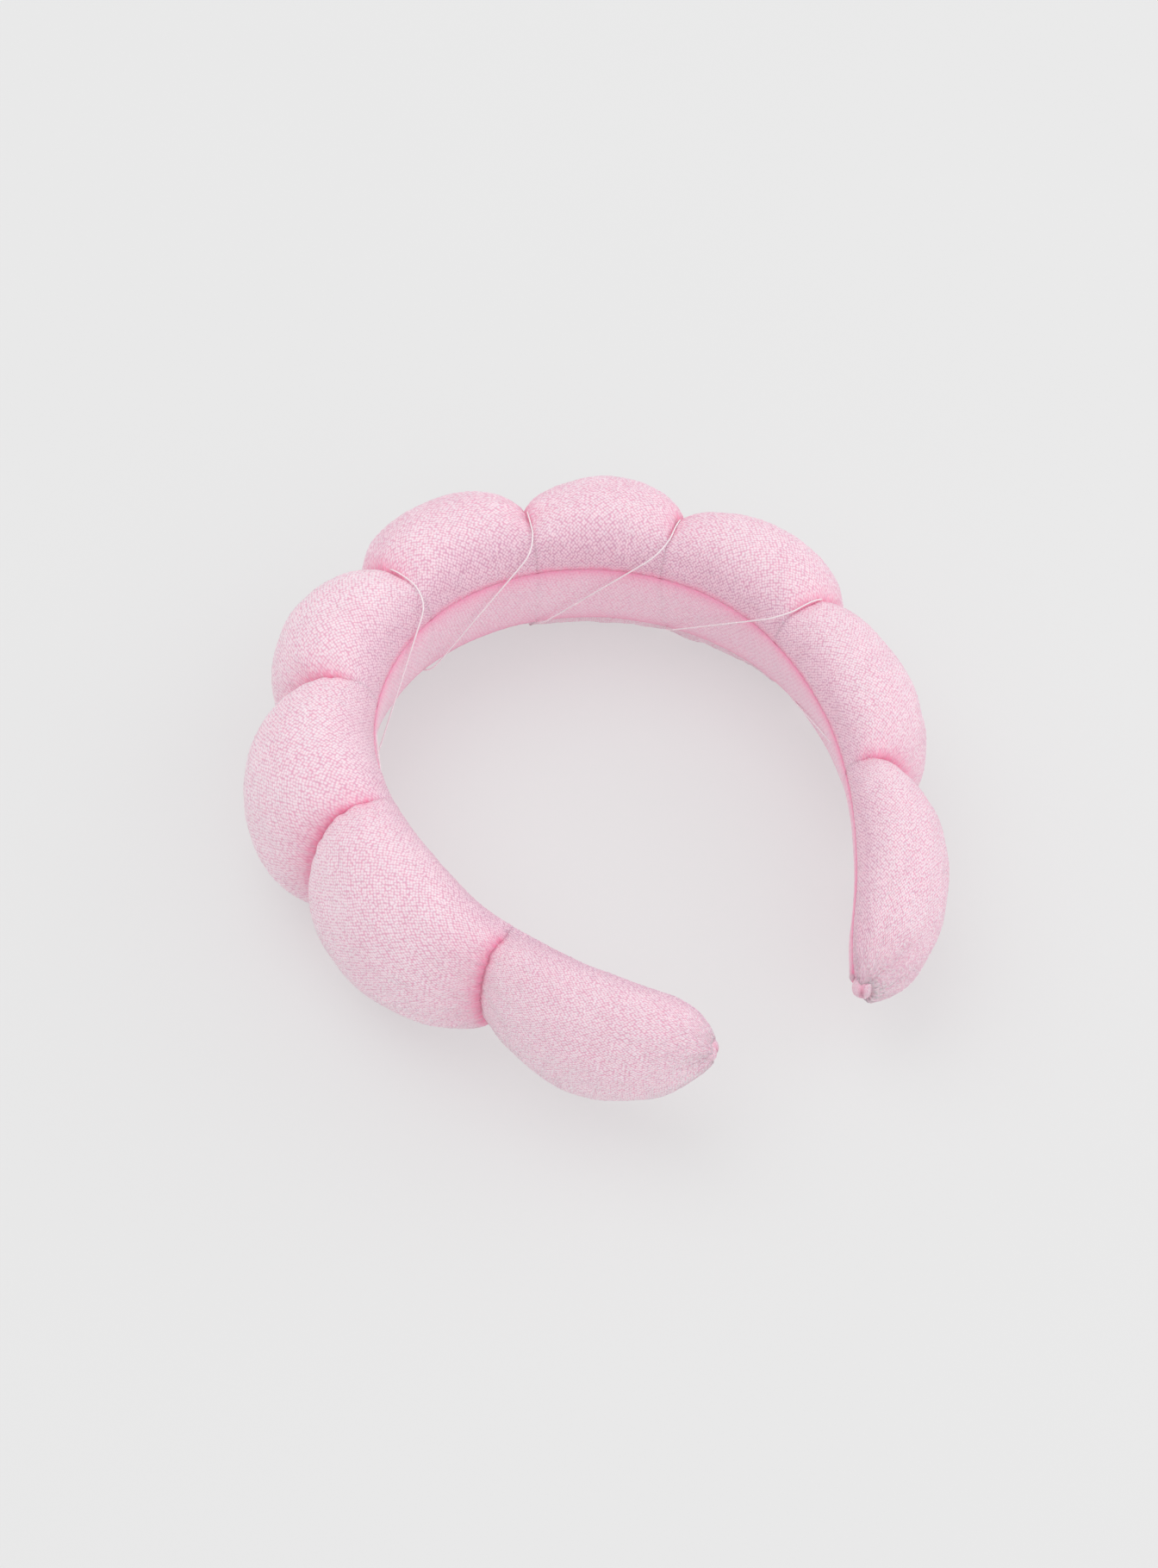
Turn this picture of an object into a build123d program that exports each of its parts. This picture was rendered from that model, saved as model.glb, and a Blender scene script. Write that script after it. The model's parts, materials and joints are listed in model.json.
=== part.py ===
from build123d import *
import math
import os

# Spa headband: an open, springy hoop inside a padded terry sleeve that is tied into nine puffs.
# It lies on its side: +Z is the width of the band, +Y runs from the opening to the crown,
# and X crosses the two arms. "Out" is away from the head, "in" is towards it.

# ------------------------------------------------------------------ driving dimensions, mm and degrees
# One value per puff, from the crown puff to the puff beside the tip; the two arms are alike.
PUFF_LENGTH = (35.5, 35.5, 40.5, 47.5, 61.5)     # along the hoop, the last one is the tip puff
PUFF_BEND = (36.0, 32.0, 37.0, 25.0, 20.5)       # how far the hoop turns along that length
PUFF_THICK = (40.0, 36.0, 33.5, 31.0)            # inner face to outer face where a puff is fullest
PUFF_HEIGHT = (47.0, 52.0, 52.0, 52.0)           # across the band where a puff is fullest
# The tip puff: place along its length, thickness, height, width of its flat inner face.
TIP_ROWS = (
    (0.16, 25.0, 44.0, 29.0),
    (0.40, 25.5, 42.0, 27.5),
    (0.64, 23.0, 36.0, 23.5),
    (0.84, 18.5, 28.0, 18.0),
    (0.95, 13.5, 19.0, 12.0),
    (1.00, 9.0, 11.0, 6.5),
)
PINCH_THICK = 22.5                 # size of the padding where the thread ties it in
PINCH_HEIGHT = 42.0
BAND_WIDTH = 29.0                  # the flat inner face, which the lining covers
WAIST = 0.46                       # where a section is tallest, as a part of its thickness
PUFF_FULLNESS = 0.73               # under 1 makes a puff blunt, over 1 makes it pointed
PUFF_STATIONS = (0.11, 0.28, 0.5, 0.72, 0.89)

OPENING = (5.5, 4.5, 3.0, 1.1)     # how far each pinch turns as the band is pulled open
GAP = 0.3                          # clear space across a pinch, at the inner face
NECK = 1.3                         # straight stretch beside a pinch, where the thread lies

HOOP_THICK = 1.6
HOOP_WIDTH = 22.0
HOOP_STOP = 0.84                   # place along the tip puff where the hoop starts to round off
LINING_THICK = 1.2
LINING_STOP = 0.95                 # the same for the lining
COVER_THICK = 1.5
LAYER_GAP = 0.1                    # loose fit between the layers
FLATTENED = 0.6                    # how much of a puff its own weight presses flat

THREAD_D = 0.7                     # clear elastic thread that ties the puffs
THREAD_REACH = 1.1                 # the thread passes this far inside the lining
SEAM_D = 0.4                       # sewing thread along the edges of the lining
SEAM_CLEAR = 0.2                   # how far it stands off the lining
SEAM_END = 2.4                     # the seam dives into the gathers this far from a pinch
KNOT_D = 2.6
FOLD_LENGTH = 2.2                  # how far the folded and sewn end of the sleeve stands out
FOLD_TAPER = 0.75                  # size of its end, as a part of its root

# ------------------------------------------------------------------ places worked out from them
HOOP_IN = -HOOP_THICK / 2                          # layers, measured out from the middle of the hoop
LINING_OUT = HOOP_IN - LAYER_GAP
LINING_IN = LINING_OUT - LINING_THICK
FOAM_IN = HOOP_THICK / 2 + LAYER_GAP
THREAD_IN = LINING_IN - THREAD_REACH               # centre of the thread where it crosses the lining
THREAD_SEAT = (THREAD_D + LAYER_GAP) / 2           # centre of the thread, out from the neck it lies on
THREAD_BEAD = THREAD_D * 0.6                       # radius of its bead, a little over the thread's own
MID_Z = max(PUFF_HEIGHT) / 2 - FLATTENED           # height of the middle of the band
LAST = len(PUFF_LENGTH) - 1                        # row of the tip puff
REACH = 120.0                                      # more than any one puff


def chain():
    """Start of each arc of the right arm: the point, the heading and the arc's radius."""
    rows = []
    x, y, heading = 0.0, 0.0, 0.0
    for row, (length, bend) in enumerate(zip(PUFF_LENGTH, PUFF_BEND)):
        turn = math.radians(bend)
        radius = length / turn
        if row == 0:
            turn = turn / 2                        # the crown puff is half on each side
        rows.append((x, y, heading, radius, turn))
        x += radius * (math.sin(heading + turn) - math.sin(heading))
        y += radius * (math.cos(heading + turn) - math.cos(heading))
        heading += turn
    return rows


ARCS = chain()


def place(side, row, part):
    """Point on the middle of the hoop, outward direction and direction towards the tip."""
    x, y, heading, radius, turn = ARCS[row]
    centre = Vector(x - radius * math.sin(heading), y - radius * math.cos(heading), MID_Z)
    angle = heading + part * turn
    out = Vector(math.sin(angle), math.cos(angle), 0)
    ahead = Vector(math.cos(angle), -math.sin(angle), 0)
    point = centre + out * radius
    return [Vector(side * v.X, v.Y, v.Z) for v in (point, out, ahead)]


def centre_of(side, row):
    """Centre of the arc that the hoop follows along this puff."""
    x, y, heading, radius, _ = ARCS[row]
    return Vector(side * (x - radius * math.sin(heading)), y - radius * math.cos(heading), 0)


def section_plane(point, out):
    """Plane across the band: local X points outward and local Y up."""
    return Plane(origin=point, x_dir=out, z_dir=out.cross(Vector(0, 0, 1)))


def pinch_plane(side, pinch, towards, back):
    """Cut beside a pinch, leaning away from it so that the band can open.

    towards is +1 for the puff on the crown's side of the pinch and -1 for the puff beyond it;
    back is the distance from the cut, into the puff."""
    point, out, ahead = place(side, pinch, 1.0)
    lean = math.radians(OPENING[pinch] / 2)
    facing = ahead * towards
    normal = facing * math.cos(lean) + out * math.sin(lean)
    along = out * math.cos(lean) - facing * math.sin(lean)
    corner = point + out * LINING_IN - facing * (GAP / 2) - normal * back
    return section_plane(corner - along * LINING_IN, along)


def outline(thick, height, band, inset=0.0, flat=LINING_IN):
    """Section of the padding: round outside, flat where the lining lies."""
    middle = LINING_IN + WAIST * thick
    inner_axis = (middle - LINING_IN) / math.sqrt(1 - (band / height) ** 2) - inset
    outer_axis = LINING_IN + thick - middle - inset
    half = height / 2 - inset
    turn = math.degrees(math.acos((flat - middle) / inner_axis))
    edge = half * math.sin(math.radians(turn))
    return middle, outer_axis, inner_axis, half, turn, edge


def section(plane, thick, height, band, inset=0.0, flat=LINING_IN):
    """Face with that outline, on a plane across the band."""
    middle, outer_axis, inner_axis, half, turn, edge = outline(thick, height, band, inset, flat)
    outside = EllipticalCenterArc((middle, 0), outer_axis, half, -90, arc_size=180)
    upper = EllipticalCenterArc((middle, 0), inner_axis, half, 90, arc_size=turn - 90)
    lower = EllipticalCenterArc((middle, 0), inner_axis, half, -turn, arc_size=turn - 90)
    return plane * make_face(Curve() + [outside, upper, Line(upper @ 1, lower @ 0), lower])


def puff_rows(side, row):
    """Sections of a puff between its necks, as (plane, thickness, height, flat width)."""
    rows = []
    if row == LAST:
        for part, thick, height, band in TIP_ROWS:
            point, out, _ = place(side, row, part)
            rows.append((section_plane(point, out), thick, height, band))
        return rows
    for part in PUFF_STATIONS:
        swell = math.sin(math.pi * part) ** PUFF_FULLNESS
        thick = PINCH_THICK + (PUFF_THICK[row] - PINCH_THICK) * swell
        height = PINCH_HEIGHT + (PUFF_HEIGHT[row] - PINCH_HEIGHT) * swell
        point, out, _ = place(side, row, 2 * part - 1 if row == 0 else part)
        rows.append((section_plane(point, out), thick, height, BAND_WIDTH))
    return rows


def padding(side, row, inset=0.0, flat=LINING_IN):
    """The outer shape of one puff, or the same shape taken in all round by inset."""
    pinch_size = (PINCH_THICK, PINCH_HEIGHT, BAND_WIDTH)
    necks = []                                     # the plane of each cut and the one behind its neck
    for back in (0, NECK):
        near = pinch_plane(-side, 0, 1, back) if row == 0 else pinch_plane(side, row - 1, -1, back)
        far = None if row == LAST else pinch_plane(side, row, 1, back)
        necks.append((near, far))
    rows = [(necks[0][0], *pinch_size), (necks[1][0], *pinch_size)] + puff_rows(side, row)
    if row != LAST:
        rows += [(necks[1][1], *pinch_size), (necks[0][1], *pinch_size)]
    elif inset:
        rows = rows[:-1]                           # the sleeve closes at the tip
    return loft([section(*values, inset, flat) for values in rows], ruled=True)


def arc_band(side, row, inner, outer, low, high, ends=(0.0, 0.0)):
    """A strip bent along one puff: from inner to outer across, from low to high, short of its ends."""
    _, _, _, radius, turn = ARCS[row]
    start = math.degrees(-turn if row == 0 else 0.0) + math.degrees(ends[0] / radius)
    stop = math.degrees(turn) - math.degrees(ends[1] / radius)
    plane = section_plane(*place(side, row, math.radians(start) / turn)[:2])
    profile = plane * Pos((inner + outer) / 2, (low + high) / 2) * Rectangle(outer - inner, high - low)
    axis = Axis(centre_of(side, row), (0, 0, -side))
    return revolve(profile, axis, revolution_arc=stop - start)


def tongue(side, last, trim):
    """Block with the outline of the tapering flat face of the tip puff, trimmed by trim all round."""
    middle, out, ahead = place(side, LAST, 0.5)
    length = PUFF_LENGTH[LAST]
    root = BAND_WIDTH / 2 - trim
    edge = [(-0.6 * length, root), (-0.5 * length, root)]    # the first point lies before the puff's start
    for part, _, _, band in TIP_ROWS:
        if part <= last:
            edge.append(((part - 0.5) * length, band / 2 - trim))
    upper = Spline(*edge[1:])
    lower = Spline(*[(x, -y) for x, y in edge[1:]])
    tip = ThreePointArc(upper @ 1, (edge[-1][0] + edge[-1][1] / 2, 0), lower @ 1)
    back = Polyline(upper @ 0, edge[0], (edge[0][0], -root), lower @ 0)
    face = make_face(Curve() + [upper, tip, lower, back])
    facing = Plane(origin=middle, x_dir=ahead, z_dir=ahead.cross(Vector(0, 0, 1)))
    return extrude(facing * face, amount=BAND_WIDTH, both=True)


def hoop(side, row):
    """Springy plastic strip, rounded off inside the tip puffs."""
    half = HOOP_WIDTH / 2
    strip = arc_band(side, row, -HOOP_THICK / 2, HOOP_THICK / 2, -half, half, (GAP / 2, GAP / 2))
    return strip & tongue(side, HOOP_STOP, BAND_WIDTH / 2 - half) if row == LAST else strip


def lining(side, row):
    """Terry strip that faces the head."""
    half = BAND_WIDTH / 2
    strip = arc_band(side, row, LINING_IN, LINING_OUT, -half, half, (GAP / 2, GAP / 2))
    return strip & tongue(side, LINING_STOP, 0) if row == LAST else strip


def foam(side, row):
    """Soft core of a puff."""
    half = BAND_WIDTH / 2
    seat = arc_band(side, row, LINING_IN, FOAM_IN, -half, half, (-NECK, -NECK))
    return padding(side, row, COVER_THICK + LAYER_GAP, HOOP_IN) - seat


def cover(side, row):
    """Terry sleeve round one puff, open along the lining."""
    half = BAND_WIDTH / 2 + LAYER_GAP
    slot = arc_band(side, row, LINING_IN - COVER_THICK, HOOP_IN + LAYER_GAP, -half, half, (-NECK, -NECK))
    if row == LAST:
        slot = slot & tongue(side, LINING_STOP, -LAYER_GAP)
    sleeve = padding(side, row) - padding(side, row, COVER_THICK, HOOP_IN) - slot
    if sleeve.bounding_box().min.Z < 0:
        middle = place(side, row, 0.5)[0]
        sleeve -= Pos(middle.X, middle.Y, -FLATTENED) * Box(REACH, REACH, FLATTENED * 2)
    return sleeve


def seam_thread(side, row):
    """Sewing thread along both edges of the lining, round the end of it in a tip puff."""
    inner = LINING_IN - SEAM_CLEAR - SEAM_D
    edge = (BAND_WIDTH + LAYER_GAP) / 2
    if row == LAST:
        strip = arc_band(side, row, inner, inner + SEAM_D, -edge - SEAM_D, edge + SEAM_D, (SEAM_END, 0))
        around = tongue(side, LINING_STOP, -LAYER_GAP - SEAM_D / 2)
        return strip & (around - tongue(side, LINING_STOP, SEAM_D / 2))
    runs = [arc_band(side, row, inner, inner + SEAM_D, z - SEAM_D / 2, z + SEAM_D / 2, (SEAM_END, SEAM_END))
            for z in (-edge, edge)]
    return runs[0] + runs[1]


def groove_plane(side, pinch):
    """Plane of the thread round a pinch, in the neck on the crown's side of it."""
    return pinch_plane(side, pinch, 1, NECK / 2)


def thread_end(side, pinch, up):
    """Where the thread leaves the groove of a pinch at the upper or lower edge of the lining."""
    edge = outline(PINCH_THICK, PINCH_HEIGHT, BAND_WIDTH, -THREAD_SEAT, THREAD_IN)[-1]
    return groove_plane(side, pinch).from_local_coords((THREAD_IN, up * edge, 0))


def groove_thread(side, pinch):
    """Thread round the outside of a pinch."""
    middle, outer_axis, inner_axis, half, turn, _ = outline(
        PINCH_THICK, PINCH_HEIGHT, BAND_WIDTH, -THREAD_SEAT, THREAD_IN)
    lower = EllipticalCenterArc((middle, 0), inner_axis, half, -turn, arc_size=turn - 90)
    outside = EllipticalCenterArc((middle, 0), outer_axis, half, -90, arc_size=180)
    upper = EllipticalCenterArc((middle, 0), inner_axis, half, 90, arc_size=turn - 90)
    path = groove_plane(side, pinch) * Wire([lower.edge(), outside.edge(), upper.edge()])
    return sweep(Plane(origin=path @ 0, z_dir=path % 0) * Circle(THREAD_D / 2), path=path)


def crossing_thread(start, end):
    """Straight, tight thread across the inside of a puff, with a bead where it leaves its groove."""
    run = end - start
    rod = extrude(Plane(origin=start, z_dir=run) * Circle(THREAD_D / 2), amount=run.length)
    return rod + Pos(start) * Sphere(THREAD_BEAD)


def beyond(side, pinch, up):
    """Where a crossing thread ends on the tip's side of a pinch, clear of the thread in its groove."""
    point, out, ahead = place(side, pinch, 1.0)
    height = thread_end(side, pinch, up).Z
    spot = point + out * THREAD_IN + ahead * (GAP / 2 + THREAD_D)
    return Vector(spot.X, spot.Y, height)


def tie_thread(side, row):
    """One turn of the elastic thread that winds along the whole band, always the same way round."""
    if row == 0:
        turns = groove_thread(1, 0) + groove_thread(-1, 0)
        return turns + crossing_thread(thread_end(1, 0, 1), thread_end(-1, 0, -1))
    far, near = thread_end(side, row, side), beyond(side, row - 1, -side)
    return groove_thread(side, row) + crossing_thread(far, near)


def thread_knot(side):
    """Knot at one end of the tie thread, on the last pinch of an arm."""
    end = thread_end(side, LAST - 1, -side)
    inward = place(side, LAST - 1, 1.0)[1] * -1
    return Pos(end + inward * KNOT_D / 3) * Sphere(KNOT_D / 2) - tie_thread(side, LAST - 1)


def tip_fold(side):
    """End of the sleeve, folded in and sewn flat."""
    point, out, ahead = place(side, LAST, 1.0)
    _, thick, height, band = TIP_ROWS[-1]
    root = section(section_plane(point, out), thick, height, band)
    sizes = [size * FOLD_TAPER for size in (thick, height, band)]
    end = section(section_plane(point + ahead * FOLD_LENGTH, out), *sizes)
    return loft([root, end], ruled=True)


# ------------------------------------------------------------------ the nodes
def arm_name(side):
    return "right" if side > 0 else "left"


def body_name(side, row):
    if row == 0:
        return "crown"
    return f"{arm_name(side)}_tip" if row == LAST else f"{arm_name(side)}_{row}"


nodes = {}
for row in range(LAST + 1):
    for layer, maker in (("hoop", hoop), ("foam", foam), ("cover", cover), ("lining", lining),
                         ("seam_thread", seam_thread)):
        solid = maker(1, row)
        nodes[f"{layer}_{body_name(1, row)}"] = solid
        if row:
            nodes[f"{layer}_{body_name(-1, row)}"] = mirror(solid, about=Plane.YZ)
for side in (1, -1):
    for row in range(1, LAST):
        nodes[f"tie_thread_{body_name(side, row)}"] = tie_thread(side, row)
    nodes[f"thread_knot_{arm_name(side)}"] = thread_knot(side)
    nodes[f"tip_fold_{arm_name(side)}"] = tip_fold(side)
nodes["tie_thread_crown"] = tie_thread(1, 0)

# The origin is the middle of the bottom of the whole band.
box = Compound([solid for node in nodes.values() for solid in node.solids()]).bounding_box()
shift = Pos(-(box.min.X + box.max.X) / 2, -(box.min.Y + box.max.Y) / 2, 0)

os.makedirs("parts", exist_ok=True)
for name, solid in nodes.items():
    export_step(shift * solid, f"parts/{name}.step")

print("size", [round(v, 2) for v in box.size], "shift", [round(v, 3) for v in shift.position])
for pinch in range(LAST):
    point, out, _ = place(1, pinch, 1.0)
    point = point + shift.position
    print("pinch", pinch, "at", [round(v, 3) for v in point], "out", [round(v, 4) for v in out])
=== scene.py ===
import json
import math

import bpy
import numpy as np
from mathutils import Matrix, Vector


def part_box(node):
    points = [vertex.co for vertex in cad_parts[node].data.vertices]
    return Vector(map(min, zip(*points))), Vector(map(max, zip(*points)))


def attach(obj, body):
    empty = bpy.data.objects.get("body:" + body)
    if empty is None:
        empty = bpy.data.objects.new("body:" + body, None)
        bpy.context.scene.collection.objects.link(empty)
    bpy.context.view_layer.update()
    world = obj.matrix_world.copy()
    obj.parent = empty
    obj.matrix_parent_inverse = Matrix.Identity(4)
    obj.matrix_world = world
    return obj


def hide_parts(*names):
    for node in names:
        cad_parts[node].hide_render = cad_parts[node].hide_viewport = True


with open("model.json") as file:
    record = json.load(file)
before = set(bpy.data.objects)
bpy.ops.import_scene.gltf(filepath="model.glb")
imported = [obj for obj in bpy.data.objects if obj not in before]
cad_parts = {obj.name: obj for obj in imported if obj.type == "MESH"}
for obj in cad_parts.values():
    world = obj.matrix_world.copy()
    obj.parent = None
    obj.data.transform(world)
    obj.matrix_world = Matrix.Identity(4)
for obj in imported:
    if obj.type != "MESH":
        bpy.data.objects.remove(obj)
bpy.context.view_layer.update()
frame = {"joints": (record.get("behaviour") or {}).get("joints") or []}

# Spa headband: nine terry puffs on a springy hoop, lying on its side on a pale floor.
# "Out" is away from the head, "in" is towards it; every size is in metres.

# ------------------------------------------------------------------ sizes
PUFF_THICK = (0.0400, 0.0360, 0.0335, 0.0295)      # by row, from the crown towards the tip
PUFF_HEIGHT = (0.0485, 0.0515, 0.0520, 0.0485)
PINCH = (0.0225, 0.0420, 0.0250)                   # thickness, height and lining's width at a pinch
TIP_LENGTH = 0.0615                                # of the hoop's path in a tip, and how far it bends there
TIP_BEND = math.radians(20.5)
TIP_AT = (0.0, 0.16, 0.40, 0.64, 0.84, 0.95, 1.0)  # places along a tip puff for the next three tables
TIP_THICK = {1: (0.0155, 0.0228, 0.0246, 0.0228, 0.0186, 0.0160, 0.0150),
             -1: (0.0145, 0.0196, 0.0228, 0.0230, 0.0196, 0.0168, 0.0152)}
TIP_HEIGHT = {1: (0.0355, 0.0425, 0.0420, 0.0365, 0.0290, 0.0245, 0.0230),
              -1: (0.0300, 0.0372, 0.0382, 0.0360, 0.0310, 0.0265, 0.0240)}
TIP_BAND = (0.0250, 0.0250, 0.0240, 0.0215, 0.0172, 0.0135, 0.0110)
TIP_FINE = 41                                      # points that they are smoothed in, and over how many
TIP_SMOOTH = 7
TIP_ROUND = (0.76, 1.012)                          # where a tip starts to round off, and where it would close
TIP_RISE = {1: 0.0008, -1: 0.0075}                 # how much higher the sleeve ends than the band does
TIP_NOSE = {1: 0.0048, -1: 0.0072}                 # how far out from the inner face the end closes
# Some pinches are tied tighter than the rest (thinner and lower by so much), or lie beyond their joint.
# They are named by the arm's side, 1 for right and -1 for left, and the row of the puff before them.
# Where that is the last row, it is the tip's end that lies further on.
TIGHTER = {(-1, 1): (0.0050, 0.0), (-1, 2): (0.0024, 0.0),
           (-1, 3): (0.0080, 0.0120), (1, 3): (0.0070, 0.0065)}
BEYOND = {(-1, 3): 0.0040, (1, 3): 0.0025, (1, 4): 0.0026, (-1, 4): 0.0008}
SLIMMER = {(1, 3): 0.0012, (-1, 1): 0.0012}        # puffs that are less thick than the other in their row
TAPER = {(-1, 3): 0.26, (1, 3): 0.10}              # puffs that get smaller towards the tip, by this part
WALL = (0.0310, 0.0475)                            # thickness and height that inner walls keep past a pinch
WALL_RUN = (0.0165, 0.0095)                        # how far up from the seam, at the crown and at a tip
HOOP_HALF = 0.0008                                 # half of the hoop's thickness and of its width
HOOP_WIDE = 0.0095
LINING_BACK = -0.00095                             # layers, measured out from the middle of the hoop
SEAM_IN = -0.0021
LINING_SWELL = 0.0010
LINING_LAP = 0.0010                                # how far a lining reaches past its pinch
LINING_END = 0.94                                  # where it ends in a tip puff
WAIST = 0.46                                       # where a section is highest, as a part of its thickness
SQUARE = (0.64, 1.50)                              # inner walls above and below: over 1 is drawn in
# Along the band, from -4.5 at the left tip to 4.5 at the right one: how much the inner face leans
# outward below its upper seam, and how far the padding pushes all of it inward.
ALONG = (-4.5, -3.5, -2.5, -1.5, -0.5, 0.5, 1.5, 2.5, 3.5, 4.5)
LEAN = (0.10, 0.15, 0.15, 0.20, 0.22, 0.22, 0.24, 0.27, 0.22, 0.10)
PUSHED = (0.0, 0.0006, 0.0030, 0.0016, 0.0004, 0.0, 0.0, 0.0, 0.0, 0.0)
LEAN_SOFT = 0.002                                  # how gently the lean begins
LEAN_DEEP = 0.62                                   # part of the thickness over which it dies out
BLUNT = 2.1                                        # how soon a puff swells beyond a pinch
STEP = 0.0005                                      # between points; a terry loop takes two of them
LAP = 0.00025                                      # how far a puff reaches past its pinch, into its neighbour
SEAM_SHARE = 25 / 32                               # part of a section's points that the sleeve takes
COLUMNS = 256
SLEEVE_ROUND = 0.105                               # usual length of the sleeve round a section, seam to seam
FLOOR_SOFT = 0.0004                                # how softly points turn where they meet the floor
LOOP = 0.00015                                     # height of the terry loops, and of the fuzz between them
FUZZ = 0.00004
THREAD = 0.00044
STITCH = 0.0021                                    # length of a stitch, and from the start of one to the next
STITCH_PITCH = 0.0030
GROOVE_COLUMNS = 128
FOLD = (0.0028, 0.0028, 0.0040)                    # half sizes of a folded end: ahead, out and up
SIM_COLUMNS = 64
SIM_ROWS = 19
SIM_SCALE = 10.0                                   # the simulation runs on puffs this many times as large
SIM_STEPS = 20
SWELL_CAP = 0.004                                  # no point moves further than this in it
SWELL_RUN = 0.018                                  # how far from a seam the swelling is at its full
SWELL_LEAST = 0.12                                 # share of it that is left at a seam
LAST = 4                                           # row of the tip puffs; the crown's is 0
THREADS_SEEN = ((1, 0), (1, 1), (1, 2), (-1, 1))   # the others leave their pinch nearer to the seam

# ------------------------------------------------------------------ the hoop's path, from the record's joints
def flex_point(row):
    """Place of a joint of the right arm, which lies at the pinch before a puff."""
    joint = next(j for j in frame["joints"] if j["name"] == f"right_flex_{row}")
    return np.array(joint["pos_m"], float)


def arcs():
    """Centre, radius, first heading and turn of each arc of the right arm."""
    crown_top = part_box("hoop_crown")[1].y
    points = [np.array([0.0, crown_top - HOOP_HALF, flex_point(1)[2]])]
    points += [flex_point(row) for row in range(1, LAST + 1)]
    found = []
    heading = 0.0
    for start, end in zip(points, points[1:]):
        out = np.array([math.sin(heading), math.cos(heading), 0.0])
        chord = end - start
        radius = -(chord @ chord) / (2 * out @ chord)
        centre = start - out * radius
        after = math.atan2(end[0] - centre[0], end[1] - centre[1])
        found.append((centre, radius, heading, after - heading))
        heading = after
    out = np.array([math.sin(heading), math.cos(heading), 0.0])
    radius = TIP_LENGTH / TIP_BEND
    found.append((points[-1] - out * radius, radius, heading, TIP_BEND))
    return found


ARCS = arcs()


def path(side, row, t):
    """Points on the hoop, outward and forward directions, for an array of places t along one puff."""
    centre, radius, heading, turn = ARCS[row]
    run = BEYOND.get((side, row - 1), 0.0) + np.asarray(t, float) * length_of(side, row)
    angle = heading + run / radius - (turn if row == 0 else 0.0)
    over = angle > heading + turn
    if 0 < row < LAST:
        after = ARCS[row + 1]
        angle = np.where(over, after[2] + (run - radius * turn) / after[1], angle)
        over = over[..., None]
        centre = np.where(over, after[0], centre)
        radius = np.where(over, after[1], radius)
    out = np.stack([np.sin(angle), np.cos(angle), 0 * angle], -1)
    ahead = np.stack([np.cos(angle), -np.sin(angle), 0 * angle], -1)
    flip = np.array([side, 1, 1])
    return (centre + out * radius) * flip, out * flip, ahead * flip


def length_of(side, row):
    """Length of a puff along the hoop, from pinch to pinch."""
    arc = ARCS[row][1] * ARCS[row][3] * (2 if row == 0 else 1)
    return arc - BEYOND.get((side, row - 1), 0.0) + BEYOND.get((side, row), 0.0)


def pinch_size(side, row):
    """Thickness and height of the padding at the pinch after a puff."""
    thinner, lower = TIGHTER.get((side, row), (0.0, 0.0))
    return PINCH[0] - thinner, PINCH[1] - lower


def arm_name(side):
    """Word for an arm in the names of its pieces."""
    return "right" if side > 0 else "left"


def body_name(side, row):
    """Name of the body that the pieces of a puff ride on."""
    if row == 0:
        return "crown"
    return f"{arm_name(side)}_{'tip' if row == LAST else row}"


# ------------------------------------------------------------------ helpers for grids of points
def cubic(values, at, periodic):
    """Smooth values between the rows of an array, at fractional row numbers."""
    k = np.floor(at).astype(int)
    f = (at - k).reshape(-1, *[1] * (values.ndim - 1))
    weights = (-f + 2 * f * f - f ** 3, 2 - 5 * f * f + 3 * f ** 3,
               f + 4 * f * f - 3 * f ** 3, f ** 3 - f * f)
    total = 0
    for shift, weight in zip((-1, 0, 1, 2), weights):
        row = (k + shift) % len(values) if periodic else np.clip(k + shift, 0, len(values) - 1)
        total = total + values[row] * weight / 2
    return total


def spread(values, rows, columns, periodic=True):
    """Resample a grid smoothly to rows by columns."""
    values = cubic(values, np.linspace(0, len(values) - 1, rows), False)
    values = np.swapaxes(values, 0, 1)
    count = len(values) if periodic else len(values) - 1
    at = np.arange(columns) * count / (columns if periodic else columns - 1)
    return np.swapaxes(cubic(values, at, periodic), 0, 1)


def lumps(seed, rows, columns, cells, periodic=True):
    """Smooth random heights from -1 to 1."""
    coarse = np.random.RandomState(seed).uniform(-1, 1, cells)
    return spread(coarse, rows, columns, periodic)


def normals_of(points):
    """Unit directions across a grid whose columns run all the way round."""
    along = np.gradient(points, axis=0)
    around = np.roll(points, -1, 1) - np.roll(points, 1, 1)
    normal = np.cross(around, along)
    return normal / np.maximum(np.linalg.norm(normal, axis=-1, keepdims=True), 1e-12)


def make_piece(name, points, faces, body, material, attributes=None):
    """Mesh object with a material and values for its points, riding on a body."""
    mesh = bpy.data.meshes.new(name)
    mesh.from_pydata([tuple(p) for p in points], [], faces)
    for key, data in (attributes or {}).items():
        kind = "FLOAT_VECTOR" if data.ndim == 2 else "FLOAT"
        layer = mesh.attributes.new(key, kind, "POINT")
        layer.data.foreach_set("vector" if data.ndim == 2 else "value", data.astype(np.float32).ravel())
    mesh.shade_smooth()
    mesh.materials.append(material)
    piece = bpy.data.objects.new(name, mesh)
    bpy.context.scene.collection.objects.link(piece)
    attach(piece, body)
    return piece


def grid_faces(rows, columns, wrap, flip):
    """Faces between the points of a grid, which may run on from its last column to its first."""
    quads = []
    for i in range(rows - 1):
        for j in range(columns if wrap else columns - 1):
            k = (j + 1) % columns
            quad = (i * columns + j, i * columns + k, (i + 1) * columns + k, (i + 1) * columns + j)
            quads.append(quad[::-1] if flip else quad)
    return quads


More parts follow.
